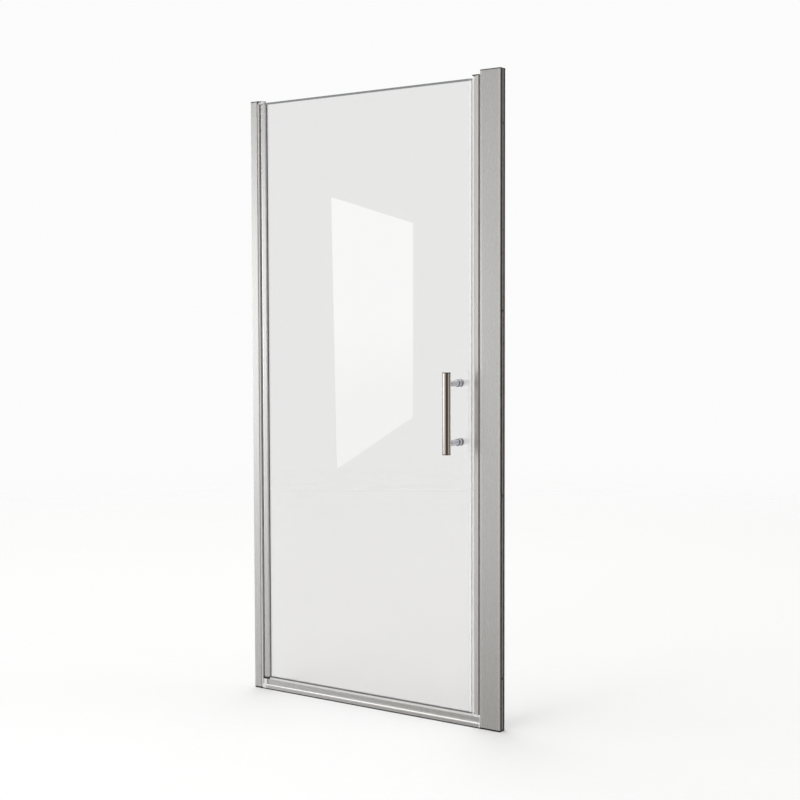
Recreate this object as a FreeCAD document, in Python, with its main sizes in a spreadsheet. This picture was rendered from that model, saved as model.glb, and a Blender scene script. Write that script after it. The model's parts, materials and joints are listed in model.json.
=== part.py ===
"""Pivot shower door for a 900 mm opening: a glass leaf on a pivot stile between two wall-fixed posts.

Axes: +X to the right, +Y into the shower, +Z up.  The origin is the centre of the underside of the
sill.  Everything is in millimetres.  A length, place or radius below is a formula over the sizes in
the sheet, written as text.
"""
import FreeCAD, Part
import math
import os
import re

import Sketcher
from FreeCAD import Placement, Rotation, Vector

# name, value, what it measures
SIZES = (
    # The frame as a whole
    ("frame_width", 900, "across both wall channels"),
    ("frame_depth", 27, "front face to back face of the posts"),
    ("hinge_height", 1837, "top of the hinge side"),
    ("strike_height", 1850, "top of the wide strike post"),
    ("cap_thickness", 3, "end caps, and the seal under the sill"),
    ("foot_pad_thickness", 4.5, "pads under both posts"),
    ("pad_inset", 0.6, "foot pads stand in from the profiles above"),
    ("edge_round", 0.8, "radius of the outer edges of the profiles"),
    ("slide_gap", 0.3, "between profiles that telescope"),
    # Hinge side
    ("channel_width", 25, "hinge wall channel, from the wall to its front edge"),
    ("channel_wall", 2, "thickness of both wall channels"),
    ("hinge_post_width", 22, "post inside the hinge wall channel"),
    ("hinge_post_wall", 1.5, "thickness of the hinge post"),
    ("hinge_post_proud", 5.5, "post beyond the front edge of its channel"),
    ("wall_hole_radius", 3, "wall fixing holes"),
    ("wall_hole_inset", 150, "outer wall holes from the base and from the top of their side"),
    # Pivots
    ("pivot_gap", 0.5, "barrel of the stile to the hinge post"),
    ("pin_radius", 4, "both pivot pins"),
    ("pin_reach", 34, "pin inside the stile"),
    ("pin_fit", 0.05, "radial running clearance of pin and bush"),
    ("bush_radius", 6, "outside of the bushes, bore of the stile"),
    ("bush_flange_radius", 8, "thrust flange of the bushes"),
    ("bush_flange", 1, "thickness of the thrust flange"),
    ("bush_length", 36, "sleeve of the bushes"),
    ("end_gap", 0.3, "free play above and below the leaf"),
    ("washer_thickness", 0.8, "thrust washer on the lower block"),
    ("washer_radius", 7.5, "outside of the thrust washer"),
    ("lower_block_height", 5.5, "lower pivot block"),
    ("upper_block_height", 9.6, "upper pivot block at the axis"),
    ("tongue_length", 30, "tongue of the upper block inside the post"),
    ("tongue_gap", 0.2, "tongue to the inside of the post"),
    # Pivot stile and its glazing gasket
    ("barrel_radius", 8.5, "rounded back of the stile, half its depth"),
    ("stile_inside_round", 3.5, "its corner on the shower side, beside the glass"),
    ("glass_edge_gap", 0.8, "glass edge beyond the barrel radius"),
    ("glass_bite", 4.9, "glass inside the stile"),
    ("gasket_leg", 1.8, "gasket between glass and stile"),
    ("gasket_web", 1, "gasket behind the glass edge"),
    ("bead_width", 1, "visible gasket bead beside the stile"),
    ("bead_rise", 2.4, "bead above the glass face"),
    ("bead_round", 0.8, "radius of the bead"),
    # Glass leaf
    ("glass_thickness", 6, "toughened glass"),
    ("glass_drop", 3, "glass below the bottom of the stile"),
    ("glass_rise", 5, "glass above the top of the stile"),
    # Strike side
    ("strike_post_width", 66, "wide post, from its inner edge to the wall"),
    ("strike_post_wall", 1.8, "thickness of the wide post"),
    ("strike_post_back", 0.5, "edges of the wide post short of the wall"),
    ("shoulder_width", 6.6, "sloped strips along both sides of its front"),
    ("shoulder_fall", 0.25, "how far the sloped strips fall back"),
    ("chamber_depth", 15, "post edge to the partition behind the jamb"),
    ("strike_channel_width", 30, "wall channel inside the wide post"),
    ("strike_web", 3, "thickness of its web on the wall"),
    ("web_groove", 1.6, "depth of the two grooves in the web"),
    ("web_rib", 4.2, "half the width of the rib between the grooves"),
    ("web_edge", 2.2, "width of the lands outside the grooves"),
    ("jamb_reveal", 22.4, "strike jamb in front of the wide post"),
    ("jamb_width", 15.6, "body of the jamb"),
    ("jamb_depth", 20, "body of the jamb, front to back"),
    ("jamb_round", 3, "rounded leading corners of the jamb"),
    ("jamb_fall", 1.2, "how far each face of the jamb falls back towards the leaf"),
    ("jamb_wall", 1.6, "thickness of the jamb"),
    ("neck_depth", 12, "neck of the jamb inside the wide post"),
    ("neck_end_gap", 1, "neck to the partition"),
    ("jamb_below_top", 11, "top of the jamb below the top of the wide post"),
    ("jamb_foot_height", 6, "spacer under the jamb"),
    # Magnetic closing seals
    ("closing_gap", 0.6, "between the two seals when shut"),
    ("seal_wall", 1.2, "thickness of the clear seal profiles"),
    ("seal_skin", 0.8, "seal in front of and behind its magnet"),
    ("seal_leg", 8, "seal legs along the glass"),
    ("magnet_thickness", 4, "both magnets"),
    ("magnet_width", 6.4, "both magnets, front to back"),
    ("barb_neck", 4.8, "strike seal where it passes the jamb wall"),
    ("barb_width", 8, "barb inside the jamb"),
    ("barb_thickness", 1.2, "barb inside the jamb"),
    # Sill
    ("sill_height", 31, "top of the sill"),
    ("sill_wall", 1.4, "thickness of the sill profile"),
    ("ledge_height", 16, "low step at the front"),
    ("ledge_depth", 8, "low step, front to back"),
    ("lip_round", 5, "front edge of the low step"),
    ("shadow_groove_drop", 1, "shadow groove below the top of the sill"),
    ("shadow_groove_height", 1.8, "height of the shadow groove"),
    ("shadow_groove_depth", 1.3, "depth of the shadow groove"),
    ("end_plate", 3.7, "end block of the sill beside the wide post"),
    ("end_block_rim", 3, "end block of the sill beyond the spigot of the pin"),
    ("plug_length", 20, "end block inside the sill"),
    ("sill_end_gap", 0.3, "sill to each post, and plug to cavity"),
    ("pin_foot", 12, "lower end of the lower pin above the base"),
    ("pin_spigot_radius", 2, "lower pin inside the end block of the sill"),
    # Drip seal
    ("drip_leg", 8, "drip seal legs along the glass"),
    ("fin_thickness", 1.2, "wiping fin"),
    ("fin_gap", 0.6, "fin above the sill"),
    ("drip_end_gap", 0.3, "drip seal to its neighbours"),
    # Handle
    ("handle_setback", 42, "handle axis from the glass edge"),
    ("handle_centre", 895.5, "middle of the handle above the base"),
    ("handle_length", 232, "bar with its end plugs"),
    ("handle_radius", 12.5, "bar"),
    ("handle_wall", 1.5, "wall of the bar"),
    ("handle_spacing", 168, "between standoffs"),
    ("handle_projection", 65, "bar axis from the glass face"),
    ("plug_cap", 2.5, "visible part of the end plugs"),
    ("plug_round", 1.2, "edge of the end plugs"),
    ("plug_spigot", 10, "spigot of the end plugs"),
    ("standoff_radius", 9, "standoffs"),
    ("collar_radius", 11, "collars on the glass"),
    ("collar_length", 8, "collars"),
    ("collar_round", 1, "outer edge of the collars"),
    ("washer_pad", 1, "clear washers on both faces of the glass"),
    ("glass_hole_radius", 6, "handle holes in the glass"),
    ("bolt_radius", 3, "handle bolts"),
    ("bolt_reach", 22, "bolt inside the standoff"),
    ("bolt_fit", 0.05, "bolt in its thread and sleeve"),
    ("bolt_head_radius", 5.5, "handle bolt heads"),
    ("bolt_head_height", 4, "handle bolt heads"),
    ("inner_cap_length", 7, "caps on the inside of the glass"),
    ("inner_cap_wall", 1.6, "face of those caps"),
    # Screws
    ("screw_radius", 2, "fixing screws"),
    ("screw_head_radius", 3.6, "fixing screw heads"),
    ("screw_head_height", 2, "fixing screw heads"),
    ("screw_reach", 3.5, "screw beyond the inner face of the outer wall"),
    ("screw_inset", 200, "outer fixing screws from the base and from the top of their side"),
    ("cover_radius", 5.5, "cover caps on the screws"),
    ("cover_wall", 1.2, "cover caps"),
    ("cover_play", 0.2, "screw head inside its cover"),
    ("tongue_screw_drop", 8, "first tongue screw below the upper block"),
    ("tongue_screw_pitch", 14, "between tongue screws"),
    ("sill_screw_length", 14, "screws in the sill ends"),
    ("sill_screw_radius", 1.75, "screws in the sill ends"),
    ("sill_screw_head", 3.3, "their countersunk heads"),
    ("sill_screw_back", 5.5, "their line from the back of the sill"),
    ("sill_screw_inset", 12, "from the end of the rail"),
)

WALL_HOLES = 4
POST_SCREWS = 3
TONGUE_SCREWS = 2

# Places that several pieces share
LEFT = "(-frame_width / 2)"
RIGHT = "(frame_width / 2)"
FRONT = "(-frame_depth / 2)"
BACK = "(frame_depth / 2)"

CHANNEL_EDGE = f"({LEFT} + channel_width)"
HINGE_FACE = f"({CHANNEL_EDGE} + hinge_post_proud)"
HINGE_POST_LEFT = f"({HINGE_FACE} - hinge_post_width)"
HINGE_POST_MIDDLE = f"({HINGE_FACE} - hinge_post_width / 2)"
HINGE_POST_SIDE = "(frame_depth / 2 - channel_wall - slide_gap)"
PIVOT_X = f"({HINGE_FACE} + pivot_gap + barrel_radius)"

UPPER_BLOCK_BOTTOM = "(hinge_height - upper_block_height)"
PROFILE_TOP = "(hinge_height - cap_thickness)"
LOWER_BLOCK_TOP = "(sill_height + lower_block_height)"
WASHER_TOP = f"({LOWER_BLOCK_TOP} + washer_thickness)"
LOWER_FLANGE = f"({WASHER_TOP} + end_gap)"
STILE_BOTTOM = f"({LOWER_FLANGE} + bush_flange)"
UPPER_FLANGE = f"({UPPER_BLOCK_BOTTOM} - end_gap)"
STILE_TOP = f"({UPPER_FLANGE} - bush_flange)"

POST_LEFT = f"({RIGHT} - strike_post_width)"
POST_RIGHT = f"({RIGHT} - strike_post_back)"
POST_INSIDE = "(frame_depth / 2 - strike_post_wall)"
PARTITION = f"({POST_LEFT} + chamber_depth)"
CHANNEL_SIDE = f"({POST_INSIDE} - slide_gap)"
STRIKE_CHANNEL_EDGE = f"({RIGHT} - strike_channel_width)"
STRIKE_SCREW_X = f"({RIGHT} - strike_channel_width / 2)"
JAMB_LEFT = f"({POST_LEFT} - jamb_reveal)"
JAMB_RIGHT = f"({JAMB_LEFT} + jamb_width)"
NECK_END = f"({PARTITION} - neck_end_gap)"
NECK_SCREW_X = f"(({POST_LEFT} + strike_post_wall + {NECK_END}) / 2)"
NECK_INSIDE = "(neck_depth / 2 - jamb_wall)"
JAMB_TOP = "(strike_height - jamb_below_top)"
JAMB_BOTTOM = "(sill_height + jamb_foot_height)"
STRIKE_SEAL_DEPTH = "(2 * seal_skin + magnet_thickness)"
STRIKE_SEAL_FACE = f"({JAMB_LEFT} - {STRIKE_SEAL_DEPTH})"
DOOR_SEAL_FACE = f"({STRIKE_SEAL_FACE} - closing_gap)"
SEAL_NOSE_SIDE = "(magnet_width / 2 + seal_wall)"

GLASS_LEFT = f"({PIVOT_X} + barrel_radius + glass_edge_gap)"
GLASS_RIGHT = f"({DOOR_SEAL_FACE} - seal_wall - magnet_thickness - seal_skin)"
GLASS_SIDE = "(glass_thickness / 2)"
GLASS_BOTTOM = f"({STILE_BOTTOM} - glass_drop)"
GLASS_TOP = f"({STILE_TOP} + glass_rise)"
SLOT_FLOOR = f"({GLASS_LEFT} - gasket_web)"
SLOT_SIDE = f"({GLASS_SIDE} + gasket_leg)"
STILE_END = f"({GLASS_LEFT} + glass_bite)"
BEAD_END = f"({STILE_END} + bead_width)"
BEAD_SIDE = f"({GLASS_SIDE} + bead_rise)"
SEAL_LEG_END = f"({GLASS_RIGHT} - seal_leg)"

UPSTAND = f"({FRONT} + ledge_depth)"
SILL_LEFT = f"({HINGE_FACE} + sill_end_gap)"
SILL_RIGHT = f"({POST_LEFT} - sill_end_gap)"
RAIL_LEFT = f"({PIVOT_X} + pin_spigot_radius + end_block_rim)"
RAIL_RIGHT = f"({SILL_RIGHT} - end_plate)"
GROOVE_HIGH = "(sill_height - shadow_groove_drop)"
GROOVE_LOW = f"({GROOVE_HIGH} - shadow_groove_height)"
CAVITY_FRONT = f"({UPSTAND} + shadow_groove_depth + sill_wall)"
CAVITY_BACK = f"({BACK} - sill_wall)"
CAVITY_FLOOR = "(cap_thickness + sill_wall)"
CAVITY_ROOF = "(sill_height - sill_wall)"
SILL_SCREW_Y = f"({BACK} - sill_screw_back)"
SILL_SCREW_XS = (f"({RAIL_LEFT} + sill_screw_inset)", f"({RAIL_RIGHT} - sill_screw_inset)")

HANDLE_X = f"({GLASS_RIGHT} - handle_setback)"
BAR_Y = f"(-{GLASS_SIDE} - handle_projection)"
STANDOFF_ZS = ("(handle_centre - handle_spacing / 2)", "(handle_centre + handle_spacing / 2)")
BAR_BOTTOM = "(handle_centre - handle_length / 2)"
BAR_TOP = "(handle_centre + handle_length / 2)"
PAD_FRONT = f"(-{GLASS_SIDE} - washer_pad)"
PAD_BACK = f"({GLASS_SIDE} + washer_pad)"

DIRECTIONS = {"x": Vector(1, 0, 0), "y": Vector(0, 1, 0), "z": Vector(0, 0, 1)}
OTHER_AXES = {"x": "yz", "y": "xz", "z": "xy"}
SAME_PLACE = 1e-6

doc = FreeCAD.newDocument("pivot_shower_door")
sheet = doc.addObject("Spreadsheet::Sheet", "size")
sub_parts = []


def fill_sheet():
    """Writes each size to a row of the sheet: its name, its value and what it measures."""
    for row, (name, value, meaning) in enumerate(SIZES, start=1):
        sheet.set(f"A{row}", name)
        sheet.set(f"B{row}", str(value))
        sheet.set(f"C{row}", meaning)
        sheet.setAlias(f"B{row}", name)
    doc.recompute()


def formula(text):
    """The text with every size's name pointed at its cell in the sheet."""
    return re.sub(r"[a-z][a-z_]*", lambda word: "size." + word.group(), text)


def number(text):
    """What a formula comes to now."""
    return float(sheet.evalExpression(formula(text)))


def bind(item, path, text):
    """Ties a property to a formula."""
    item.setExpression(path, formula(text))


def sub_part(item, label):
    """Gives a finished piece its own label and adds it to the pieces that are written out."""
    item.Label = label
    sub_parts.append(item)
    return item


# Bodies made of sketches

def new_body(label):
    """A body for one sub-part."""
    body = doc.addObject("PartDesign::Body", label)
    return sub_part(body, label)


def new_sketch(body, plane_role, start):
    """A sketch on one of the body's own planes, moved along the plane's normal to start."""
    sketch = body.newObject("Sketcher::SketchObject", body.Name + "_sketch")
    planes = [feature for feature in body.Origin.OriginFeatures if feature.Role == plane_role]
    sketch.AttachmentSupport = [(planes[0], "")]
    sketch.MapMode = "FlatFace"
    bind(sketch, "AttachmentOffset.Base.z", start)
    return sketch


def hold_point(sketch, edge, end, across, up):
    """Fixes one end of an edge at two formulas."""
    for kind, text in (("DistanceX", across), ("DistanceY", up)):
        index = sketch.addConstraint(Sketcher.Constraint(kind, edge, end, number(text)))
        bind(sketch, f"Constraints[{index}]", text)


def sign(value):
    """-1, 0 or 1."""
    return 0 if abs(value) < SAME_PLACE else int(math.copysign(1, value))


def outline_steps(corners):
    """The starts of an outline's edges: (across, up, radius or None, corner to turn round).

    A corner is (across, up), or (across, up, radius) where two square edges meet in an arc.
    """
    places = [Vector(number(corner[0]), number(corner[1]), 0) for corner in corners]
    steps = []
    for index, corner in enumerate(corners):
        across, up = corner[:2]
        if len(corner) == 2:
            steps.append((across, up, None, None))
            continue
        here = places[index]
        incoming = here - places[index - 1]
        outgoing = places[(index + 1) % len(places)] - here
        into = (sign(incoming.x), sign(incoming.y))
        out = (sign(outgoing.x), sign(outgoing.y))
        radius = corner[2]
        before = (f"{across} - ({into[0]}) * {radius}", f"{up} - ({into[1]}) * {radius}")
        after = (f"{across} + ({out[0]}) * {radius}", f"{up} + ({out[1]}) * {radius}")
        steps.append((*before, radius, (into, out)))
        steps.append((*after, None, None))
    return steps


def add_outline(sketch, corners):
    """Draws a closed outline whose corners are held at their formulas."""
    edges = []
    steps = outline_steps(corners)
    for index, (across, up, radius, turn) in enumerate(steps):
        after = steps[(index + 1) % len(steps)]
        start = Vector(number(across), number(up), 0)
        end = Vector(number(after[0]), number(after[1]), 0)
        if (end - start).Length < SAME_PLACE:
            continue
        if radius is None:
            edges.append((sketch.addGeometry(Part.LineSegment(start, end)), 1, 2, across, up, None))
            continue
        into, out = turn
        size = number(radius)
        centre = start + Vector(out[0], out[1], 0) * size
        left_turn = into[0] * out[1] - into[1] * out[0] > 0
        first, last = (start, end) if left_turn else (end, start)
        angles = [math.atan2(point.y - centre.y, point.x - centre.x) for point in (first, last)]
        arc = Part.ArcOfCircle(Part.Circle(centre, Vector(0, 0, 1), size), *angles)
        ends = (1, 2) if left_turn else (2, 1)
        edges.append((sketch.addGeometry(arc), *ends, across, up, radius))
    for index, (edge, start_end, far_end, across, up, radius) in enumerate(edges):
        after = edges[(index + 1) % len(edges)]
        sketch.addConstraint(Sketcher.Constraint("Coincident", edge, far_end, after[0], after[1]))
        hold_point(sketch, edge, start_end, across, up)
        if radius is not None:
            index = sketch.addConstraint(Sketcher.Constraint("Radius", edge, number(radius)))
            bind(sketch, f"Constraints[{index}]", radius)


def add_circle(sketch, across, up, radius):
    """Draws a circle held at its centre and radius."""
    centre = Vector(number(across), number(up), 0)
    edge = sketch.addGeometry(Part.Circle(centre, Vector(0, 0, 1), number(radius)))
    hold_point(sketch, edge, 3, across, up)
    index = sketch.addConstraint(Sketcher.Constraint("Radius", edge, number(radius)))
    bind(sketch, f"Constraints[{index}]", radius)


def pad(body, sketch, length):
    """Pads a sketch along its plane's normal."""
    feature = body.newObject("PartDesign::Pad", body.Name + "_pad")
    feature.Profile = sketch
    bind(feature, "Length", length)
    body.Tip = feature
    return feature


def extrusion(label, plane_role, start, end, outlines, bores=()):
    """A body padded from start to end; bores are circles (across, up, radius) left open."""
    body = new_body(label)
    sketch = new_sketch(body, plane_role, start)
    for corners in outlines:
        add_outline(sketch, corners)
    for bore in bores:
        add_circle(sketch, *bore)
    pad(body, sketch, f"{end} - {start}")
    doc.recompute()
    return body


def drill(body, plane_role, start, length, radius, centres, forward=False):
    """Drills round holes against the plane's normal, or along it when forward."""
    solid_before = body.Shape.Volume
    sketch = new_sketch(body, plane_role, start)
    for across, up in centres:
        add_circle(sketch, across, up, radius)
    feature = body.newObject("PartDesign::Pocket", body.Name + "_holes")
    feature.Profile = sketch
    feature.Reversed = forward
    bind(feature, "Length", length)
    body.Tip = feature
    doc.recompute()
    if not body.Shape.Volume < solid_before:
        raise ValueError(body.Label + ": the holes miss the solid")


# Primitives and booleans

def box(name, across, deep, tall):
    """A box from three (low, high) pairs of formulas."""
    item = doc.addObject("Part::Box", name)
    for size, axis, (low, high) in (("Length", "x", across), ("Width", "y", deep), ("Height", "z", tall)):
        bind(item, size, f"{high} - {low}")
        bind(item, f"Placement.Base.{axis}", low)
    return item


def turned(kind, name, axis, centre, start, end):
    """A round primitive along an axis; centre gives the two other coordinates in order."""
    item = doc.addObject(kind, name)
    item.Placement = Placement(Vector(), Rotation(DIRECTIONS["z"], DIRECTIONS[axis]))
    bind(item, "Height", f"{end} - {start}")
    bind(item, f"Placement.Base.{axis}", start)
    for other, text in zip(OTHER_AXES[axis], centre):
        bind(item, f"Placement.Base.{other}", text)
    return item


def cylinder(name, axis, centre, start, end, radius):
    """A cylinder along an axis."""
    item = turned("Part::Cylinder", name, axis, centre, start, end)
    bind(item, "Radius", radius)
    return item


def cone(name, axis, centre, start, end, start_radius, end_radius):
    """A cone along an axis."""
    item = turned("Part::Cone", name, axis, centre, start, end)
    bind(item, "Radius1", start_radius)
    bind(item, "Radius2", end_radius)
    return item


def fuse(name, *items):
    """One solid of several that touch or cross."""
    item = doc.addObject("Part::MultiFuse", name)
    item.Shapes = list(items)
    item.Refine = True
    return item


def cut(name, base, *tools):
    """The base with each tool taken away."""
    for index, tool in enumerate(tools, start=1):
        item = doc.addObject("Part::Cut", f"{name}_cut_{index}")
        item.Base = base
        item.Tool = tool
        base = item
    return base


def group(label, items):
    """Identical pieces that share a node."""
    item = doc.addObject("Part::Compound", label)
    item.Links = list(items)
    return sub_part(item, label)


def rounded_rod(name, axis, centre, start, end, radius, edge, ends):
    """A rod whose outer edges at the chosen ends are rounded."""
    rod = cylinder(name + "_rod", axis, centre, start, end, radius)
    doc.recompute()
    places = [number({"low": start, "high": end}[which]) for which in ends]
    chosen = []
    for index, candidate in enumerate(rod.Shape.Edges, start=1):
        at = candidate.BoundBox.Center.dot(DIRECTIONS[axis])
        flat = getattr(candidate.BoundBox, axis.upper() + "Length") < SAME_PLACE
        if flat and min(abs(at - place) for place in places) < SAME_PLACE:
            chosen.append((index, number(edge), number(edge)))
    item = doc.addObject("Part::Fillet", name)
    item.Base = rod
    item.Edges = chosen
    return item


# Repeated places

def spread(inset, height, count):
    """Evenly spaced heights between an inset from the base and the same inset from the top."""
    pitch = f"(({height} - 2 * {inset}) / {count - 1})"
    return [f"({inset} + {index} * {pitch})" for index in range(count)]


def wall_hole_heights(side_height):
    """The holes of one wall channel."""
    return spread("wall_hole_inset", side_height, WALL_HOLES)


def post_screw_heights(side_height):
    """The fixing screws of one side of the frame."""
    return spread("screw_inset", side_height, POST_SCREWS)


def tongue_screw_heights():
    """The screws into the tongue of the upper block."""
    top = f"({UPPER_BLOCK_BOTTOM} - tongue_screw_drop)"
    return [f"({top} - {index} * tongue_screw_pitch)" for index in range(TONGUE_SCREWS)]


# Hinge side

def make_hinge_wall_channel():
    """U profile on the wall, open towards the doorway."""
    inside_front = f"({FRONT} + channel_wall)"
    inside_back = f"({BACK} - channel_wall)"
    web = f"({LEFT} + channel_wall)"
    outline = (
        (LEFT, FRONT, "edge_round"), (CHANNEL_EDGE, FRONT, "edge_round"), (CHANNEL_EDGE, inside_front),
        (web, inside_front), (web, inside_back), (CHANNEL_EDGE, inside_back),
        (CHANNEL_EDGE, BACK, "edge_round"), (LEFT, BACK, "edge_round"),
    )
    body = extrusion("hinge_wall_channel", "XY_Plane", "foot_pad_thickness", PROFILE_TOP, (outline,))
    drill(body, "YZ_Plane", "0", "frame_width", "wall_hole_radius",
          [("0", height) for height in wall_hole_heights("hinge_height")])
    screws = post_screw_heights("hinge_height") + tongue_screw_heights()
    drill(body, "XZ_Plane", "0", "frame_depth", "screw_radius",
          [(HINGE_POST_MIDDLE, height) for height in screws])


def make_hinge_post():
    """Box profile that slides in the wall channel and stops under the upper block."""
    near = f"({HINGE_POST_LEFT} + hinge_post_wall)"
    far = f"({HINGE_FACE} - hinge_post_wall)"
    side = f"({HINGE_POST_SIDE} - hinge_post_wall)"
    outer = (
        (HINGE_POST_LEFT, f"-{HINGE_POST_SIDE}"), (HINGE_FACE, f"-{HINGE_POST_SIDE}", "edge_round"),
        (HINGE_FACE, HINGE_POST_SIDE, "edge_round"), (HINGE_POST_LEFT, HINGE_POST_SIDE),
    )
    inner = ((near, f"-{side}"), (far, f"-{side}"), (far, side), (near, side))
    body = extrusion("hinge_post", "XY_Plane", "foot_pad_thickness", UPPER_BLOCK_BOTTOM, (outer, inner))
    screws = post_screw_heights("hinge_height") + tongue_screw_heights()
    drill(body, "XZ_Plane", "0", "frame_depth", "screw_radius",
          [(HINGE_POST_MIDDLE, height) for height in screws])


def make_hinge_top_cap():
    """Flat cap over the channel that runs on over the upper block as far as the pivot axis."""
    outline = (
        (LEFT, FRONT, "edge_round"), (HINGE_FACE, FRONT, "edge_round"), (HINGE_FACE, "-barrel_radius"),
        (PIVOT_X, "-barrel_radius"), (PIVOT_X, "barrel_radius"), (HINGE_FACE, "barrel_radius"),
        (HINGE_FACE, BACK, "edge_round"), (LEFT, BACK, "edge_round"),
    )
    extrusion("hinge_top_cap", "XY_Plane", PROFILE_TOP, "hinge_height", (outline,))


def make_hinge_foot_pad():
    """Pad under the hinge profiles."""
    pad_piece = box("hinge_foot_pad", (f"({LEFT} + pad_inset)", f"({HINGE_FACE} - pad_inset)"),
                    (f"({FRONT} + pad_inset)", f"({BACK} - pad_inset)"), ("0", "foot_pad_thickness"))
    sub_part(pad_piece, "hinge_foot_pad")


def make_upper_pivot_block():
    """Plate on top of the post with a round head at the axis and a tongue down inside the post."""
    plate = box("upper_block_plate", (HINGE_POST_LEFT, PIVOT_X), ("-barrel_radius", "barrel_radius"),
                (UPPER_BLOCK_BOTTOM, PROFILE_TOP))
    head = cylinder("upper_block_round", "z", (PIVOT_X, "0"), UPPER_BLOCK_BOTTOM, PROFILE_TOP,
                    "barrel_radius")
    nose = cylinder("upper_block_nose", "z", (PIVOT_X, "0"), PROFILE_TOP, "hinge_height", "barrel_radius")
    nose_trim = box("upper_block_nose_trim", (f"({PIVOT_X} - 2 * barrel_radius)", PIVOT_X),
                    ("-2 * barrel_radius", "2 * barrel_radius"), (PROFILE_TOP, "2 * hinge_height"))
    inset = "(hinge_post_wall + tongue_gap)"
    side = f"({HINGE_POST_SIDE} - {inset})"
    tongue = box("upper_block_tongue", (f"({HINGE_POST_LEFT} + {inset})", f"({HINGE_FACE} - {inset})"),
                 (f"-{side}", side), (f"({UPPER_BLOCK_BOTTOM} - tongue_length)", UPPER_BLOCK_BOTTOM))
    solid = fuse("upper_block_solid", plate, head, cut("upper_block_half_nose", nose, nose_trim), tongue)
    bore = cylinder("upper_block_bore", "z", (PIVOT_X, "0"), f"({UPPER_BLOCK_BOTTOM} - bush_flange)",
                    PROFILE_TOP, "pin_radius")
    threads = [
        cylinder(f"upper_block_thread_{index}", "y", (HINGE_POST_MIDDLE, height), "0", BACK, "screw_radius")
        for index, height in enumerate(tongue_screw_heights(), start=1)
    ]
    sub_part(cut("upper_pivot_block", solid, bore, *threads), "upper_pivot_block")


def make_upper_pivot_pin():
    """Steel pin held in the block that reaches down into the stile."""
    pin = cylinder("upper_pivot_pin", "z", (PIVOT_X, "0"), f"({STILE_TOP} - pin_reach)", PROFILE_TOP,
                   "pin_radius")
    sub_part(pin, "upper_pivot_pin")


def make_lower_pivot_block():
    """Low nylon block on the sill, rounded about the axis."""
    plate = box("lower_block_plate", (HINGE_FACE, PIVOT_X), ("-barrel_radius", "barrel_radius"),
                ("sill_height", LOWER_BLOCK_TOP))
    head = cylinder("lower_block_round", "z", (PIVOT_X, "0"), "sill_height", LOWER_BLOCK_TOP,
                    "barrel_radius")
    bore = cylinder("lower_block_bore", "z", (PIVOT_X, "0"), "sill_height", LOWER_BLOCK_TOP, "pin_radius")
    solid = fuse("lower_block_solid", plate, head)
    sub_part(cut("lower_pivot_block", solid, bore), "lower_pivot_block")


def make_lower_pivot_pin():
    """Steel pin that carries the leaf, with a spigot that stands in the end block of the sill."""
    pin = cylinder("lower_pin_shaft", "z", (PIVOT_X, "0"), "sill_height", f"({STILE_BOTTOM} + pin_reach)",
                   "pin_radius")
    spigot = cylinder("lower_pin_spigot", "z", (PIVOT_X, "0"), "pin_foot", "sill_height", "pin_spigot_radius")
    sub_part(fuse("lower_pivot_pin", pin, spigot), "lower_pivot_pin")


def make_lower_pivot_washer():
    """Thrust washer between the lower block and the bush."""
    disc = cylinder("washer_disc", "z", (PIVOT_X, "0"), LOWER_BLOCK_TOP, WASHER_TOP, "washer_radius")
    hole = cylinder("washer_hole", "z", (PIVOT_X, "0"), LOWER_BLOCK_TOP, WASHER_TOP, "pin_radius")
    sub_part(cut("lower_pivot_washer", disc, hole), "lower_pivot_washer")


# Strike side

def make_strike_wall_channel():
    """U profile on the wall inside the wide post, with two grooves along the face on the wall."""
    floor = f"({RIGHT} - web_groove)"
    web = f"({RIGHT} - strike_web)"
    land = f"({CHANNEL_SIDE} - web_edge)"
    inside = f"({CHANNEL_SIDE} - channel_wall)"
    outline = (
        (STRIKE_CHANNEL_EDGE, f"-{CHANNEL_SIDE}"), (RIGHT, f"-{CHANNEL_SIDE}"), (RIGHT, f"-{land}"),
        (floor, f"-{land}"), (floor, "-web_rib"), (RIGHT, "-web_rib"), (RIGHT, "web_rib"),
        (floor, "web_rib"), (floor, land), (RIGHT, land), (RIGHT, CHANNEL_SIDE),
        (STRIKE_CHANNEL_EDGE, CHANNEL_SIDE), (STRIKE_CHANNEL_EDGE, inside), (web, inside),
        (web, f"-{inside}"), (STRIKE_CHANNEL_EDGE, f"-{inside}"),
    )
    top = "(strike_height - cap_thickness)"
    body = extrusion("strike_wall_channel", "XY_Plane", "foot_pad_thickness", top, (outline,))
    drill(body, "YZ_Plane", "0", "frame_width", "wall_hole_radius",
          [("0", height) for height in wall_hole_heights("strike_height")], forward=True)
    drill(body, "XZ_Plane", "0", "frame_depth", "screw_radius",
          [(STRIKE_SCREW_X, height) for height in post_screw_heights("strike_height")])


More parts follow.
